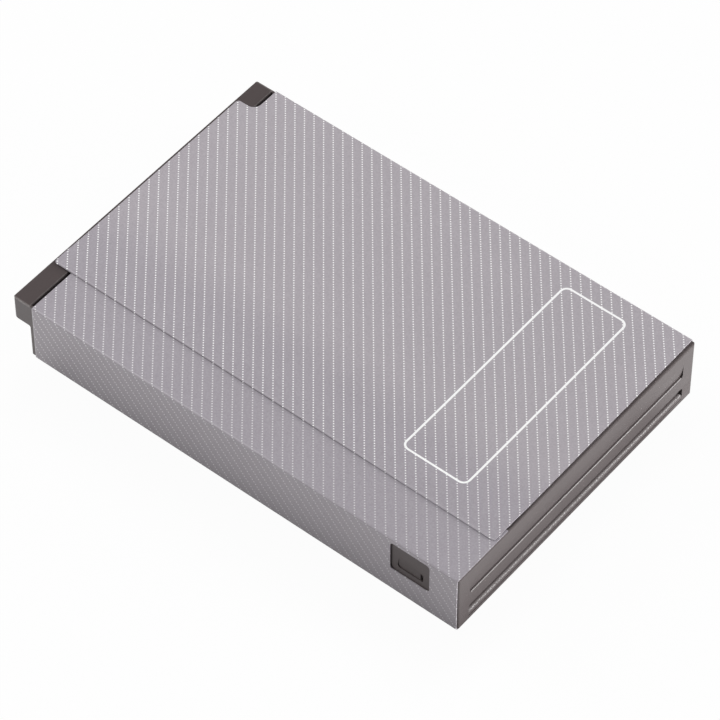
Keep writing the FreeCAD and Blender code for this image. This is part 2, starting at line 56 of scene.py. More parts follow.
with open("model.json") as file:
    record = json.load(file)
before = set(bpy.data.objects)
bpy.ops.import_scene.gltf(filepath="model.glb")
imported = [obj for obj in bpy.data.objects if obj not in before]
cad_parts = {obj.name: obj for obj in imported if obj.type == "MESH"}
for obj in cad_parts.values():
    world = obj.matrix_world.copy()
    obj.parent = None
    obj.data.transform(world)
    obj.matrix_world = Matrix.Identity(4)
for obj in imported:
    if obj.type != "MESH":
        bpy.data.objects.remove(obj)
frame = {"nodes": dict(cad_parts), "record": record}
nodes = frame["nodes"]
cad_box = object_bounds()


def sides_in_mm(box):
    return [round(side / MM, 2) for side in box[1] - box[0]]


print("nodes:", len(nodes), "size in mm:", sides_in_mm(cad_box))

# %% [markdown]
# ## Shader sums as plain expressions
#
# A finish is a sum that Blender works out at every point of a surface. It can be wired by hand in
# the shader editor, but a long sum is easier to read as a line of Python. `Value` wraps one socket
# and turns `+`, `-`, `*` and `/` into Math nodes.

# %% Sums of sockets
class Value:
    """One output socket; arithmetic on it adds Math nodes."""

    def __init__(self, graph, socket):
        self.graph = graph
        self.socket = socket

    def __add__(self, other):
        return self.graph.math("ADD", self, other)

    def __radd__(self, other):
        return self.graph.math("ADD", other, self)

    def __sub__(self, other):
        return self.graph.math("SUBTRACT", self, other)

    def __rsub__(self, other):
        return self.graph.math("SUBTRACT", other, self)

    def __mul__(self, other):
        return self.graph.math("MULTIPLY", self, other)

    def __rmul__(self, other):
        return self.graph.math("MULTIPLY", other, self)

    def __truediv__(self, other):
        return self.graph.math("DIVIDE", self, other)

    def __rtruediv__(self, other):
        return self.graph.math("DIVIDE", other, self)

    def __abs__(self):
        return self.graph.math("ABSOLUTE", self)

    def __round__(self):
        return self.graph.math("ROUND", self)


print("sums ready")

# %% [markdown]
# ## Node trees
#
# Not every node is a sum. `Graph` wraps a node tree and has one method that adds any node: its
# settings first, because they decide which sockets it has, then the values or links of its
# sockets. The other methods are short names for the nodes that come up again and again.

# %% Node trees
MIX_FIRST, MIX_SECOND, MIX_RESULT = 6, 7, 2


class Graph:
    """A node tree, with one method that adds any node and short names for the usual ones."""

    def __init__(self, tree):
        self.tree = tree

    def feed(self, socket, value):
        if isinstance(value, Value):
            self.tree.links.new(value.socket, socket)
        else:
            socket.default_value = value

    def node(self, kind, settings, sockets, output=0):
        node = self.tree.nodes.new(kind)
        for name, setting in settings.items():
            setattr(node, name, setting)
        for name, value in sockets.items():
            self.feed(node.inputs[name], value)
        return Value(self, node.outputs[output])

    def math(self, operation, *values):
        return self.node("ShaderNodeMath", {"operation": operation}, dict(enumerate(values)))

    def ramp(self, value, start, end):
        """0 where value is at start, 1 where it is at end, and a soft slope between them."""
        return self.node(
            "ShaderNodeMapRange",
            {"interpolation_type": "SMOOTHSTEP"},
            {"Value": value, "From Min": start, "From Max": end},
        )

    def stripe(self, value, middle, half_width):
        """1 where value is at the middle, falling softly to 0 at half_width to either side."""
        return self.ramp(abs(value - middle), half_width, 0.0)

    def mix(self, factor, first, second):
        """A colour from first to second. A Mix node has its own sockets for colours."""
        return self.node(
            "ShaderNodeMix",
            {"data_type": "RGBA"},
            {0: factor, MIX_FIRST: first, MIX_SECOND: second},
            output=MIX_RESULT,
        )

    def ray(self, kind):
        """1 for one kind of ray, such as those that come from the camera."""
        return self.node("ShaderNodeLightPath", {}, {}, output=kind)

    def axes(self, place):
        """The X, Y and Z of a place, as three values."""
        return [
            self.node("ShaderNodeSeparateXYZ", {}, {"Vector": place}, output=axis)
            for axis in "XYZ"
        ]

    def place_mm(self):
        """The point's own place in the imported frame, in millimetres."""
        here = self.node("ShaderNodeTexCoord", {}, {}, output="Object")
        return self.node(
            "ShaderNodeVectorMath",
            {"operation": "SCALE"},
            {0: here, "Scale": 1 / MM},
        )

    def noise(self, place, per_mm, detail=2.0):
        """Cloudy noise from 0 to 1, with about per_mm clouds to a millimetre."""
        return self.node(
            "ShaderNodeTexNoise",
            {"noise_dimensions": "3D"},
            {"Vector": place, "Scale": per_mm, "Detail": detail},
        )

    def bump(self, height, depth_mm):
        return self.node(
            "ShaderNodeBump",
            {},
            {"Height": height, "Strength": 1.0, "Distance": depth_mm * MM},
        )


print("node trees ready")

# %% [markdown]
# A material is a node tree too. Blender gives a new one a Principled shader, which can be plastic,
# film or metal, so `Finish` keeps it at hand and feeds its sockets by their names.

# %% Materials
class Finish(Graph):
    """A material with a Principled shader."""

    def __init__(self, name):
        self.material = bpy.data.materials.new(name)
        self.material.use_nodes = True
        super().__init__(self.material.node_tree)
        self.shader = self.tree.nodes["Principled BSDF"]

    def wear(self, sockets):
        for name, value in sockets.items():
            self.feed(self.shader.inputs[name], value)
        return self.material


print("materials ready")

# %% [markdown]
# ## Camera
#
# The view is a long lens that looks down on the near corner of the grip end. It could be placed by
# eye, but a turn, a height and a distance from one aimed point are easier to read and to change.
# The lamps are placed in the same way later on.
#
# The noise remover works with a picture of the plain surface colours. By default it smooths that
# picture first, and printed dots that are two pixels apart would run together, so here it takes the
# picture as it is.

# %% Camera
AIM = Vector((0.39, 1.03, 1.23)) * MM
VIEW_TURN = -51.01
VIEW_HEIGHT = 50.39
VIEW_DISTANCE = 569.2 * MM
LENS = 213.6
SENSOR = 36.0
NEAREST_SEEN = 10 * MM
FARTHEST_SEEN = 10.0


def add_object(name, data):
    added = bpy.data.objects.new(name, data)
    bpy.context.scene.collection.objects.link(added)
    return added


def place_around(thing, middle, turn, height, distance):
    """Put a camera or lamp at a turn from +X and a height, in degrees, and aim it at the middle."""
    turn, height = math.radians(turn), math.radians(height)
    outwards = Vector((
        math.cos(turn) * math.cos(height),
        math.sin(turn) * math.cos(height),
        math.sin(height),
    ))
    thing.location = middle + outwards * distance
    thing.rotation_euler = outwards.to_track_quat("Z", "Y").to_euler()


camera = add_object("camera", bpy.data.cameras.new("camera"))
place_around(camera, AIM, VIEW_TURN, VIEW_HEIGHT, VIEW_DISTANCE)
camera.data.sensor_width = SENSOR
camera.data.lens = LENS
camera.data.clip_start = NEAREST_SEEN
camera.data.clip_end = FARTHEST_SEEN
bpy.context.scene.camera = camera
bpy.context.scene.view_settings.view_transform = "Standard"
bpy.context.scene.cycles.denoising_prefilter = "NONE"
print("camera at", [round(c / MM, 1) for c in camera.location], "mm")

# %% [markdown]
# ## Floor
#
# The battery lies on a white sweep. A floor that is lit up to white would need so much light that
# the battery itself would burn out, so the floor glows where the camera or a reflection looks at
# it. A small part stays lit by the lamps there, and with it a trace of the battery's shadow. To all
# other light the floor is plain matt white and throws light back on the battery's sides. A soft
# shade beside the near side makes that side darker towards its foot, as the shadow under a high
# window light would. The floor's own sizes are in metres, and those of the shade in millimetres.

# %% Floor
FLOOR_REACH = 3.0
FLOOR_DROP = 0.02 * MM
FLOOR_GLOW = 0.97
FLOOR_SHEEN = 0.85
FLOOR_WHITE = 0.7
SHADE_REACH = 16.0
SHADE_SOFT = 8.0
SHADE_DEPTH = 0.85
WHITE = (1.0, 1.0, 1.0, 1.0)


def floor_light(finish):
    """1 on the lit floor, and less in the shade beside the battery's near side."""
    low, high = (corner / MM for corner in cad_box)
    along, across, _ = finish.axes(finish.place_mm())
    from_near = finish.ramp(across, low.y - SHADE_REACH, low.y)
    to_far = finish.ramp(across, high.y, high.y - SHADE_SOFT)
    from_left = finish.ramp(along, low.x, low.x + SHADE_SOFT)
    to_right = finish.ramp(along, high.x + SHADE_SOFT, high.x)
    return 1.0 - SHADE_DEPTH * from_near * to_far * from_left * to_right


def white_floor():
    finish = Finish("white_floor")
    light = floor_light(finish)
    finish.wear({"Base Color": FLOOR_WHITE * light, "Roughness": 1.0, "Specular IOR Level": 0.0})
    matt = Value(finish, finish.shader.outputs["BSDF"])
    glow = finish.node("ShaderNodeEmission", {}, {"Color": WHITE, "Strength": 1.0})
    seen = FLOOR_GLOW * finish.ray("Is Camera Ray")
    mirrored = FLOOR_SHEEN * light * finish.ray("Is Glossy Ray")
    shown = finish.node("ShaderNodeMixShader", {}, {0: seen + mirrored, 1: matt, 2: glow})
    finish.feed(finish.tree.nodes["Material Output"].inputs["Surface"], shown)
    return finish.material


floor_mesh = bpy.data.meshes.new("floor")
square = ((-1, -1), (1, -1), (1, 1), (-1, 1))
corners = [(x * FLOOR_REACH, y * FLOOR_REACH, -FLOOR_DROP) for x, y in square]
floor_mesh.from_pydata(corners, [], [range(len(corners))])
floor_mesh.materials.append(white_floor())
floor = add_object("floor", floor_mesh)
floor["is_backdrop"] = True
print("floor:", 2 * FLOOR_REACH, "m wide")

# %% [markdown]
# ## World
#
# Behind the floor's edge the world is white too, as a studio's wall is. That much white would light
# the battery from all sides and flatten it, so the world is white to the camera alone and gives
# only a little light.

# %% World
WORLD_LIGHT = 0.1
world = bpy.data.worlds.new("studio")
world.use_nodes = True
bpy.context.scene.world = world
sky = Graph(world.node_tree)
backdrop = world.node_tree.nodes["Background"]
sky.feed(
    backdrop.inputs["Strength"],
    WORLD_LIGHT + (1 - WORLD_LIGHT) * sky.ray("Is Camera Ray"),
)
sky.feed(backdrop.inputs["Color"], WHITE)
print("world light:", WORLD_LIGHT)

# %% [markdown]
# ## Lamps
#
# Four soft boxes, as in a small product studio. The key stands low beyond the far corner of the
# grip end: it lights the end face and draws light lines along the edges of its recesses. A higher
# one beyond the hook lip lets the top and the near side get a little darker on the way to the grip
# end. A small one in front lifts the near side and the fold above it, and a small high one behind
# evens out the top. The left one and the high one would glare on the film in views from the
# opposite side, so they don't show in reflections. All stand half a metre away, and their power is
# in watts.

# %% Lamps
LAMP_DISTANCE = 0.5
LAMP_SPREAD = 0.36


def soft_box(name, turn, height, power, mirrored):
    lamp = bpy.data.lights.new(name, "AREA")
    lamp.shape = "SQUARE"
    lamp.size = LAMP_SPREAD * LAMP_DISTANCE
    lamp.energy = power
    box = add_object(name, lamp)
    place_around(box, Vector(), turn, height, LAMP_DISTANCE)
    box.visible_glossy = mirrored


soft_box("key", turn=30, height=9, power=3.12, mirrored=True)
soft_box("left", turn=185, height=32, power=1.60, mirrored=False)
soft_box("front", turn=238, height=30, power=0.97, mirrored=True)
soft_box("high", turn=45, height=45, power=0.68, mirrored=False)
print("lamps:", [light.name for light in bpy.data.lights])

# %% [markdown]
# ## Painted edge highlights and polish on the case
#
# The lip's upper edges are painted paler, a painted highlight where their rounding catches the light,
# the edge above the grip end is dull, and the slot at its foot glints in specks, because the mould
# was polished there only in part. Such places could
# be painted by hand on the mesh. Here each is a band between two planes, measured in millimetres
# from the ground or from the tray's own box, so it stays in place when the case gets longer.

# %% Painted edge highlights and polish on the case
EDGE_WIDTH = 0.3
EDGE_SOFT = 0.15
LIP_WIDTH = 2.85
SLOT_TOP = 3.3
SLOT_BACK = 0.9
SPECKS_PER_MM = 6.0
SPECK_LEVELS = (0.4, 0.6)
tray_low, tray_high = (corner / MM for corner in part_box("case_tray"))
lip_edge = tray_low.x + LIP_WIDTH
slot_back = tray_high.x - SLOT_BACK


def by_edge(finish, value, edge):
    """1 on the last bit of the case before an edge."""
    return finish.ramp(value, edge - EDGE_WIDTH, edge - EDGE_SOFT)


def edge_highlights(finish, x, y, z):
    """1 on the upper edges of the lip, where the paler painted highlight goes."""
    on_lip = finish.ramp(x, lip_edge + EDGE_WIDTH, lip_edge)
    side = by_edge(finish, abs(y), tray_high.y)
    rim = finish.stripe(x, lip_edge, EDGE_SOFT)
    return by_edge(finish, z, tray_high.z) * on_lip * finish.math("MAXIMUM", side, rim)


def dull_edge(finish, x, z):
    """1 on the upper edge of the grip end."""
    return by_edge(finish, z, tray_high.z) * by_edge(finish, x, tray_high.x)


def slot_specks(finish, place, x, z):
    """1 on the rough specks in the slot."""
    low_down = finish.ramp(z, SLOT_TOP, SLOT_TOP - EDGE_SOFT)
    at_end = finish.ramp(x, slot_back, slot_back + EDGE_SOFT)
    specks = finish.ramp(finish.noise(place, SPECKS_PER_MM), *SPECK_LEVELS)
    return low_down * at_end * specks


print("lip's edge at", round(lip_edge, 2), "mm, back of the slot at", round(slot_back, 2), "mm")

# %% [markdown]
# ## Case plastic
#
# The tray and the lid are moulded in a warm dark grey, with the fine satin texture that a
# spark-eroded mould leaves. The texture could be displaced geometry, but its grains are a tenth of
# a millimetre, so a bump does. Slow changes of colour and gloss keep wide faces from looking
# computed.

# %% Case plastic
PLASTIC_DARK = (0.084, 0.068, 0.068, 1.0)
PLASTIC_LIGHT = (0.093, 0.076, 0.076, 1.0)
# the paler colour of the painted highlight on the lip's upper edges
EDGE_HIGHLIGHT = (0.26, 0.235, 0.23, 1.0)
EDGE_HIGHLIGHT_PART = 0.55
PLASTIC_CLOUDS_PER_MM = 0.12
PLASTIC_GRAINS_PER_MM = 7.0
PLASTIC_GRAIN_DEPTH = 0.018
FINE_DETAIL = 3.0
PLASTIC_SHINE = 0.8
PLASTIC_ROUGHNESS = 0.38
ROUGHNESS_CHANGE = 0.06
DULL_EDGE = 0.4
SLOT_SPECKS = 0.26


def case_plastic():
    finish = Finish("case_plastic")
    place = finish.place_mm()
    x, y, z = finish.axes(place)
    cloud = finish.noise(place, PLASTIC_CLOUDS_PER_MM)
    grain = finish.noise(place, PLASTIC_GRAINS_PER_MM, FINE_DETAIL)
    plain = finish.mix(cloud, PLASTIC_DARK, PLASTIC_LIGHT)
    # painted highlight: the lip's upper edges are made paler where their rounding would catch light
    highlighted = EDGE_HIGHLIGHT_PART * edge_highlights(finish, x, y, z)
    rougher = DULL_EDGE * dull_edge(finish, x, z) + SLOT_SPECKS * slot_specks(finish, place, x, z)
    return finish.wear({
        "Base Color": finish.mix(highlighted, plain, EDGE_HIGHLIGHT),
        "Specular IOR Level": PLASTIC_SHINE,
        "Roughness": PLASTIC_ROUGHNESS + ROUGHNESS_CHANGE * (cloud + grain) + rougher,
        "Normal": finish.bump(grain, PLASTIC_GRAIN_DEPTH),
    })


PLASTIC = case_plastic()
print("finish:", PLASTIC.name)

# %% [markdown]
# ## The label as a flat sheet
#
# The label is printed flat, then folded once round the case: it starts as a flap on the top, goes
# down the near side, under the floor and up the far side, and ends over its own flap. The print
# has to run round the folds without a break, so every corner of the mesh gets its place on the flat
# sheet as a texture coordinate, in millimetres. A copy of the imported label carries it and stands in
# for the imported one, with the same shape.

# %% Unfold the label
FILM = 0.13
GLUE = 0.03
FLAP_REACH = 10.55
LAYER_SPLIT = 0.015
label_low, label_high = (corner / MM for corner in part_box("label_wrap"))
HALF_WIDTH = label_high.y
FILM_TOP = label_high.z - FILM - GLUE
FLAP_END = FLAP_REACH - HALF_WIDTH
FULL_TURN = 4 * HALF_WIDTH + 2 * FILM_TOP


def sheet_place(corner):
    """Place of a point on the flat sheet, in mm: along X, and round the case from Y on the top."""
    x, y, z = corner / MM
    on_flap = y < FLAP_END and FILM_TOP / 2 < z < FILM_TOP + LAYER_SPLIT
    if on_flap:
        turn = FULL_TURN + y - (FILM_TOP - z)
    elif z > FILM_TOP / 2:
        turn = y + FILM_TOP - min(z, FILM_TOP)
    else:
        turn = 2 * HALF_WIDTH + FILM_TOP - y - math.copysign(z, y)
    return x, turn


label_mesh = nodes["label_wrap"].data.copy()
label = add_object("printed_label", label_mesh)
sheet = label_mesh.uv_layers.new(name="sheet")
for loop in label_mesh.loops:
    sheet.data[loop.index].uv = sheet_place(label_mesh.vertices[loop.vertex_index].co)
turns = [corner.uv.y for corner in sheet.data]
first_turn, last_turn = min(turns), max(turns)
print("sheet from", round(first_turn, 2), "to", round(last_turn, 2), "mm round the case")

# %% [markdown]
# Only the outer side of the film is printed. Its glued side and its cut edges show where it ends,
# and the edge that lies on the flap is coloured dark, a painted shadow of the narrow gap
# under it. The sides
# could be picked by hand, but the way that a face turns says which side it is on: away from the
# middle of the case, towards it, or neither.

# %% Sort the sides of the film
SIDES = range(4)
PRINTED, CUT_EDGE, GLUED, LAP_EDGE = SIDES
CORE_INSET = 1.0
MOSTLY_OUT = 0.5
MOSTLY_NEAR = 0.7


def facing_out(face):
    """1 on the printed side of the film, -1 on its glued side and about 0 on its cut edges."""
    y, z = face.center.y / MM, face.center.z / MM
    core_y = max(CORE_INSET - HALF_WIDTH, min(HALF_WIDTH - CORE_INSET, y))
    core_z = max(CORE_INSET, min(FILM_TOP - CORE_INSET, z))
    return face.normal.dot(Vector((0.0, y - core_y, z - core_z)).normalized())


def side_of_film(face):
    out = facing_out(face)
    above_flap = face.center.z > FILM_TOP * MM and face.center.y < FLAP_END * MM
    if out > MOSTLY_OUT:
        return PRINTED
    if out < -MOSTLY_OUT:
        return GLUED
    if above_flap and face.normal.y < -MOSTLY_NEAR:
        return LAP_EDGE
    return CUT_EDGE


for face in label_mesh.polygons:
    face.material_index = side_of_film(face)
sorted_faces = [face.material_index for face in label_mesh.polygons]
print("faces on each side of the film:", [sorted_faces.count(side) for side in SIDES])

# %% [markdown]
# The print is also kept as a picture when the model is exported. That picture would cut the label
# into many small islands, so a second map lays the printed sheet out whole. The plain sides of the
# film need no room of their own: each face goes to a small swatch of its colour beside the sheet.

# %% Lay the sheet out for the exported picture
SHEET_SHARE = 0.94
SWATCH = 0.015


def printed_place(x, turn):
    """Place of a printed point in the picture, from 0 to 1 each way."""
    across = SHEET_SHARE * (x - label_low.x) / (label_high.x - label_low.x)
    return across, (turn - first_turn) / (last_turn - first_turn)


def swatch_place(face, corner):
    """Place of a plain face's corner in the picture, on a small ring in its swatch."""
    angle = math.tau * corner / face.loop_total
    across = (1 + SHEET_SHARE) / 2 + SWATCH * math.cos(angle)
    return across, face.material_index / len(SIDES) + SWATCH * math.sin(angle)


bake_map = label_mesh.uv_layers.new(name="OFBake")
for face in label_mesh.polygons:
    for corner, loop in enumerate(face.loop_indices):
        if face.material_index == PRINTED:
            bake_map.data[loop].uv = printed_place(*label_mesh.uv_layers["sheet"].data[loop].uv)
        else:
            bake_map.data[loop].uv = swatch_place(face, corner)
print("maps:", [layer.name for layer in label_mesh.uv_layers])

# %% [markdown]
# ## Rows of dots
#
# The label is printed with slanted rows of fine white dots. They could be an image, but a rule is
# exact at any size: two wave numbers count rows and dots over the sheet, and how far a point is
# from the nearest whole count of both says how far it is from the middle of a dot. A whole number
# of rows goes round the turn, so that the rows meet again at the seam.

# %% Rows of dots
ROWS_ROUND_TURN = 59
ROW_WAVE = (0.591, ROWS_ROUND_TURN / FULL_TURN)
DOT_WAVE = (1.3915, -1.9065)
ROW_PHASE = 0.0625
DOT_PHASE = 0.354
DOT_RADIUS = 0.1
INK_SOFT = 0.02


def dot_rows(finish, along, turn):
    """1 on the printed dots."""
    rows = along * ROW_WAVE[0] + turn * ROW_WAVE[1] - ROW_PHASE
    dots = along * DOT_WAVE[0] + turn * DOT_WAVE[1] - DOT_PHASE
    off_row = rows - round(rows)
    off_dot = dots - round(dots)
    cross = ROW_WAVE[0] * DOT_WAVE[1] - ROW_WAVE[1] * DOT_WAVE[0]
    off_x = (off_row * DOT_WAVE[1] - off_dot * ROW_WAVE[1]) / cross
    off_y = (off_dot * ROW_WAVE[0] - off_row * DOT_WAVE[0]) / cross
    distance = finish.math("SQRT", off_x * off_x + off_y * off_y)
    return finish.ramp(distance, DOT_RADIUS + INK_SOFT, DOT_RADIUS - INK_SOFT)


print("rows of dots round the turn:", ROWS_ROUND_TURN)

# %% [markdown]
# ## The empty frame
#
# One empty white frame is printed across the grip end. A strip of geometry would stand proud of the
# film, so the frame is ink too: its line is where a point is less than half a line's width from a
# rectangle with round corners.

# %% The empty frame
FRAME_X = (18.35, 28.6)
FRAME_Y = (-12.6, 22.05)
FRAME_CORNER = 1.0
FRAME_LINE = 0.31


def past_straight(value, ends):
    """How far a value lies past the straight part of the frame's side between two ends."""
    return abs(value - sum(ends) / 2) - ((ends[1] - ends[0]) / 2 - FRAME_CORNER)


def frame_line(finish, along, turn):
    """1 on the line of the empty frame."""
    past_x = past_straight(along, FRAME_X)
    past_y = past_straight(turn, FRAME_Y)
    out_x = finish.math("MAXIMUM", past_x, 0.0)
    out_y = finish.math("MAXIMUM", past_y, 0.0)
    inside = finish.math("MINIMUM", finish.math("MAXIMUM", past_x, past_y), 0.0)
    distance = finish.math("SQRT", out_x * out_x + out_y * out_y) + inside - FRAME_CORNER
    return finish.ramp(abs(distance), FRAME_LINE / 2 + INK_SOFT, FRAME_LINE / 2 - INK_SOFT)


print("frame:", [round(ends[1] - ends[0], 2) for ends in (FRAME_X, FRAME_Y)], "mm")

# %% [markdown]
# ## Strength of the ink
#
# Where the sheet was folded under tension its ink is weaker: the dots fade on the near side and on
# the flap, more so towards the grip end, and a little on the top towards the near corner of that
# end. One even strength would be simpler, but the real print doesn't look stamped.

# %% Strength of the ink
NEAR_FOLD = 3 * HALF_WIDTH + 2 * FILM_TOP
NEAR_FOOT = NEAR_FOLD - FILM_TOP
FOLD_RUN = 0.5
FADE_X = (-28.0, 28.0)
NEAR_INK = (0.74, 0.5)
FLAP_INK = (0.74, 0.47)
TOP_FADE = (28.0, 50.0)
TOP_INK = (1.0, 0.72)


def folded_parts(finish, turn):
    """1 where the sheet covers the near side, and 1 where it is the flap."""
    on_flap = finish.ramp(turn, NEAR_FOLD - FOLD_RUN, NEAR_FOLD)
    on_near_side = finish.ramp(turn, NEAR_FOOT, NEAR_FOOT + FOLD_RUN) - on_flap
    return on_near_side, on_flap


def between(ends, part):
    """The first end where part is 0, the second where it is 1."""
    return ends[0] + (ends[1] - ends[0]) * part


def ink_strength(finish, along, turn):
    on_near_side, on_flap = folded_parts(finish, turn)
    to_grip_end = finish.ramp(along, *FADE_X)
    to_near_corner = finish.ramp(along - turn, *TOP_FADE)
    on_rest = 1.0 - on_near_side - on_flap
    return (
        on_rest * between(TOP_INK, to_near_corner)
        + on_near_side * between(NEAR_INK, to_grip_end)
        + on_flap * between(FLAP_INK, to_grip_end)
    )


print("near fold at", round(NEAR_FOLD, 2), "mm round the sheet")

# %% [markdown]
# ## Painted shade and highlights at the folds, seam and margin
#
# A painted shade line and a paler painted highlight run along the near fold, the seam has a painted
# shadow line and a painted highlight on its rim, and the trimmed end by the hook lip has a pale
# painted highlight along it. The highlight on the fold and the seam's shadow are strongest by
# the lip. All are a tenth or two of a millimetre wide and have no height of their own, so they are
# tones on the film: stripes at a fixed place round the sheet.

# %% Painted shade and highlights at the folds, seam and margin
# the painted highlight on the fold and the painted seam shadow are strongest by the lip and fade out
# towards the grip end
STRONG_BY_LIP_X = (24.0, -4.0)
# painted highlight: a pale line along the near fold
FOLD_HIGHLIGHT = NEAR_FOLD + 0.22
FOLD_HIGHLIGHT_HALF = 0.12
FOLD_HIGHLIGHT_TONE = 0.3
# painted shade: a dark line along the near fold
FOLD_SHADE = NEAR_FOLD - 0.08
FOLD_SHADE_HALF = 0.16
FOLD_SHADE_TONE = 0.5
# painted shadow: a dark line on the flap along the seam
SEAM_SHADOW = (first_turn + 0.15, first_turn + 0.04)
SEAM_SHADOW_TONE = 0.6
# painted highlight: a pale line on the rim of the seam
SEAM_HIGHLIGHT = first_turn + 0.25
SEAM_HIGHLIGHT_HALF = 0.12
SEAM_HIGHLIGHT_TONE = 0.14
lower_corners = [v.co for v in label_mesh.vertices if v.co.z < FILM_TOP / 2 * MM]
TERMINAL_EDGE = min(corner.x for corner in lower_corners) / MM
# painted highlight: a pale line along the trimmed end on the near side
MARGIN_HIGHLIGHT = TERMINAL_EDGE + 0.14
MARGIN_HIGHLIGHT_TONE = 0.4


# Painted highlights along the near fold, the seam's rim and the trimmed end.
def painted_highlight_lines(finish, along, turn):
    on_near_side, _ = folded_parts(finish, turn)
    fold_highlight = finish.stripe(turn, FOLD_HIGHLIGHT, FOLD_HIGHLIGHT_HALF) * finish.ramp(along, *STRONG_BY_LIP_X)
    margin_highlight = finish.ramp(along, MARGIN_HIGHLIGHT + INK_SOFT, MARGIN_HIGHLIGHT) * on_near_side
    seam_highlight = finish.stripe(turn, SEAM_HIGHLIGHT, SEAM_HIGHLIGHT_HALF)
    return FOLD_HIGHLIGHT_TONE * fold_highlight + MARGIN_HIGHLIGHT_TONE * margin_highlight + SEAM_HIGHLIGHT_TONE * seam_highlight


# Painted shade along the near fold and painted shadow along the seam.
def painted_shade_lines(finish, along, turn):
    fold_shade = finish.stripe(turn, FOLD_SHADE, FOLD_SHADE_HALF)
    seam_shadow = finish.ramp(turn, *SEAM_SHADOW) * finish.ramp(along, *STRONG_BY_LIP_X)
    return FOLD_SHADE_TONE * fold_shade + SEAM_SHADOW_TONE * seam_shadow


print("terminal edge of the label at", round(TERMINAL_EDGE, 2), "mm")

# %% [markdown]
# ## The whole print
#
# The ground is a satin mauve grey, with painted shade that makes it a little darker towards the seam
# and on the flap. It could be one flat colour, but slow clouds and fine specks, which move it between
# two close tones, keep it from looking like paint. The painted shade lines and highlights go over the
# ground, and the ink goes over both.

# %% The whole print
GROUND = ((0.386, 0.357, 0.386, 1.0), (0.466, 0.435, 0.464, 1.0))
# painted shade: darker tones of the ground, used by the seam and on the flap
SHADED_GROUND = ((0.344, 0.318, 0.350, 1.0), (0.417, 0.389, 0.425, 1.0))
SEAM_SHADE = (-3.0, -12.0)
# the colour of the painted highlights
PAINTED_HIGHLIGHT_COLOUR = (0.78, 0.76, 0.78, 1.0)
# the colour of the painted shade and shadow lines
PAINTED_SHADE_COLOUR = (0.22, 0.20, 0.22, 1.0)
WHITE_INK = (0.98, 0.98, 0.98, 1.0)
FILM_CLOUDS_PER_MM = 0.08
FILM_SPECKS_PER_MM = 4.0
FILM_GRAINS_PER_MM = 9.0
FILM_GRAIN_DEPTH = 0.004
CLOUD_PART = 0.25
SPECK_PART = 2.0
FILM_SHINE = 0.25
FILM_ROUGHNESS = (0.42, 0.48)


def ground(finish, place, turn):
    """The colour of the film under its ink, with painted shade by the seam and on the flap."""
    cloud = finish.noise(place, FILM_CLOUDS_PER_MM) - 0.5
    specks = finish.noise(place, FILM_SPECKS_PER_MM) - 0.5
    tone = 0.5 + CLOUD_PART * cloud + SPECK_PART * specks
    # painted shade: the ground turns darker towards the seam and on the flap
    above_flap = finish.ramp(turn, *SEAM_SHADE)
    on_flap = finish.ramp(turn, NEAR_FOLD, NEAR_FOLD + FILM)
    plain = finish.mix(tone, *GROUND)
    shaded_by_seam = finish.mix(tone, *SHADED_GROUND)
    return finish.mix(above_flap + on_flap, plain, shaded_by_seam)


def label_print():
    finish = Finish("label_print")
    flat = finish.node("ShaderNodeUVMap", {"uv_map": "sheet"}, {})
    along, turn, _ = finish.axes(flat)
    place = finish.place_mm()
    # painted shade and shadow lines over the ground
    film = finish.mix(painted_shade_lines(finish, along, turn), ground(finish, place, turn), PAINTED_SHADE_COLOUR)
    # painted highlights over that
    film = finish.mix(painted_highlight_lines(finish, along, turn), film, PAINTED_HIGHLIGHT_COLOUR)
    dots = dot_rows(finish, along, turn) * ink_strength(finish, along, turn)
    ink = finish.math("MAXIMUM", dots, frame_line(finish, along, turn))
    grain = finish.noise(place, FILM_GRAINS_PER_MM, FINE_DETAIL)
    return finish.wear({
        "Base Color": finish.mix(ink, film, WHITE_INK),
        "Specular IOR Level": FILM_SHINE,
        "Roughness": between(FILM_ROUGHNESS, grain),
        "Normal": finish.bump(grain, FILM_GRAIN_DEPTH),
    })


PRINT = label_print()
print("finish:", PRINT.name, "with", len(PRINT.node_tree.nodes), "nodes")

# %% [markdown]
# ## Dress the label
#
# The plain sides of the film are simple: the white core that a knife leaves, the greyish glue, and
# a painted shadow, a dark colour on the end that lies on the flap. Each is one colour with a faint
# grain. The finished
# label then rides on the body and takes the place of the imported one.

# %% Dress the label
EDGE_GRAINS_PER_MM = 4.0
EDGE_ROUGHNESS = 0.55
EDGE_DARKER = 0.85


def film_edge(name, colour):
    finish = Finish(name)
    grain = finish.noise(finish.place_mm(), EDGE_GRAINS_PER_MM)
    darker = [EDGE_DARKER * part for part in colour]
    return finish.wear({
        "Base Color": finish.mix(grain, (*colour, 1.0), (*darker, 1.0)),
        "Roughness": EDGE_ROUGHNESS,
    })


label_finishes = {
    PRINTED: PRINT,
    CUT_EDGE: film_edge("film_core", (0.85, 0.84, 0.84)),
    GLUED: film_edge("film_glue", (0.50, 0.49, 0.47)),
    # painted shadow: the end that lies on the flap is coloured dark
    LAP_EDGE: film_edge("lap_edge_shadow", (0.08, 0.075, 0.08)),
}
label_mesh.materials.clear()
for side in SIDES:
    label_mesh.materials.append(label_finishes[side])
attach(label, "root")
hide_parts("label_wrap")
print("label finishes:", [material.name for material in label_mesh.materials])

# %% [markdown]
# ## Contacts
#
# The five terminal blocks under the lip are plated with gold. Sprung pins wipe over them, so fine
# lines run up and down. They could be scratches in a picture, but noise that is stretched along Z
# gives the same lines at any size.

# %% Contact plating
GOLD_DARK = (0.83, 0.60, 0.25, 1.0)
GOLD_LIGHT = (0.93, 0.72, 0.36, 1.0)
GOLD_ROUGHNESS = (0.18, 0.38)
WIPES_PER_MM = (9.0, 9.0, 0.6)
WIPE_DEPTH = 0.004


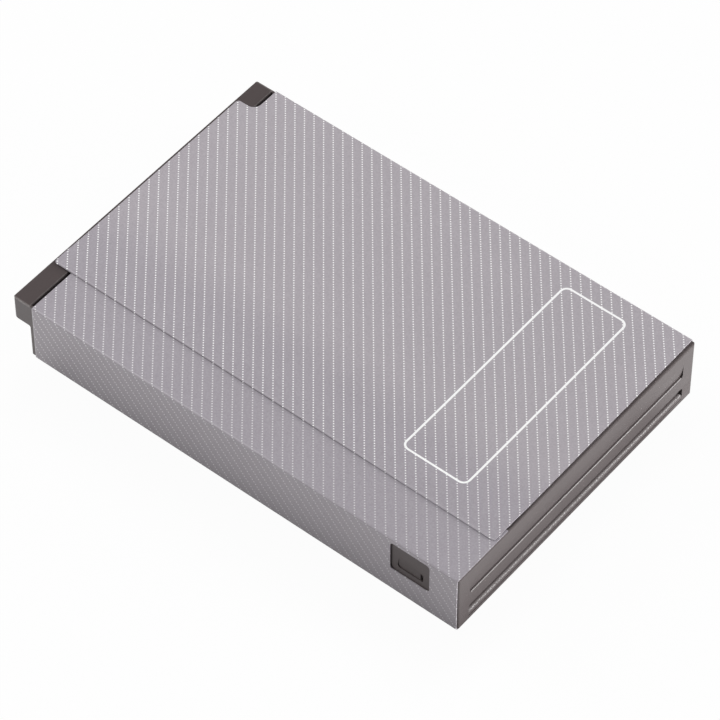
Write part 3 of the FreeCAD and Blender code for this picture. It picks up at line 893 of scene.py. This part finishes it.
def contact_gold():
    finish = Finish("contact_gold")
    stretched = finish.node(
        "ShaderNodeVectorMath",
        {"operation": "MULTIPLY"},
        {0: finish.place_mm(), 1: WIPES_PER_MM},
    )
    wipes = finish.noise(stretched, 1.0, FINE_DETAIL)
    return finish.wear({
        "Base Color": finish.mix(wipes, GOLD_DARK, GOLD_LIGHT),
        "Metallic": 1.0,
        "Roughness": between(GOLD_ROUGHNESS, wipes),
        "Normal": finish.bump(wipes, WIPE_DEPTH),
    })


GOLD = contact_gold()
print("finish:", GOLD.name)

# %% [markdown]
# ## Pieces inside the case
#
# The case is closed, so nobody sees the cell and its board, but the model can be opened, and then
# each piece should read as what it is. Each could have a material of its own kind, but they share
# one recipe: two close colours over a grain of the right size, with a gloss and a bump.

# %% Finishes inside the case
INNER_DETAIL = 4.0
INNER_ROUGHNESS_CHANGE = 0.15
finishes = {"case_plastic": PLASTIC, "contact_gold": GOLD}


def inner_finish(slot, light, dark, grains_per_mm, roughness, metal=0.0, bump_mm=0.005):
    """Add the finish of one of the record's slots."""
    finish = Finish(slot)
    grain = finish.noise(finish.place_mm(), grains_per_mm, INNER_DETAIL)
    finishes[slot] = finish.wear({
        "Base Color": finish.mix(grain, (*dark, 1.0), (*light, 1.0)),
        "Metallic": metal,
        "Roughness": roughness + INNER_ROUGHNESS_CHANGE * grain,
        "Normal": finish.bump(grain, bump_mm),
    })


inner_finish(
    "cell_foil", light=(0.78, 0.78, 0.79), dark=(0.66, 0.66, 0.68),
    grains_per_mm=0.5, roughness=0.28, metal=1.0, bump_mm=0.05,
)
inner_finish(
    "insulation_paper", light=(0.66, 0.64, 0.56), dark=(0.56, 0.54, 0.46),
    grains_per_mm=3.0, roughness=0.8,
)
inner_finish(
    "foam", light=(0.07, 0.07, 0.07), dark=(0.03, 0.03, 0.03),
    grains_per_mm=5.0, roughness=0.85, bump_mm=0.05,
)
inner_finish(
    "tape", light=(0.78, 0.77, 0.73), dark=(0.70, 0.69, 0.65),
    grains_per_mm=2.0, roughness=0.5,
)
inner_finish(
    "nickel", light=(0.70, 0.68, 0.64), dark=(0.60, 0.58, 0.54),
    grains_per_mm=4.0, roughness=0.25, metal=1.0,
)
inner_finish(
    "breaker_case", light=(0.06, 0.06, 0.06), dark=(0.04, 0.04, 0.04),
    grains_per_mm=8.0, roughness=0.45,
)
inner_finish(
    "board_laminate", light=(0.05, 0.19, 0.10), dark=(0.03, 0.13, 0.06),
    grains_per_mm=2.0, roughness=0.3,
)
inner_finish(
    "chip_moulding", light=(0.04, 0.04, 0.04), dark=(0.02, 0.02, 0.02),
    grains_per_mm=12.0, roughness=0.5,
)
inner_finish(
    "chip_ceramic", light=(0.50, 0.40, 0.30), dark=(0.40, 0.30, 0.22),
    grains_per_mm=8.0, roughness=0.4,
)
print("finishes:", sorted(finishes))

# %% [markdown]
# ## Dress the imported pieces
#
# The record says which finish each piece takes. A list of pieces here would say the same thing
# twice, so one loop follows the record. The label is dressed already.

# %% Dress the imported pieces
packed = [piece for piece in frame["record"]["subparts"] if piece["node"] != "label_wrap"]
for piece in packed:
    nodes[piece["node"]].material_slots[0].material = finishes[piece["material_slot"]]
print("pieces dressed:", len(packed))

# %% [markdown]
# ## Sizes, and the end
#
# The looks don't change the object's size, so both boxes are set side by side at the end.

# %% The two boxes, side by side
visual_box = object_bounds()
{"cad": [list(c) for c in cad_box], "visual": [list(c) for c in visual_box]}
print("visual size in mm:", sides_in_mm(visual_box))
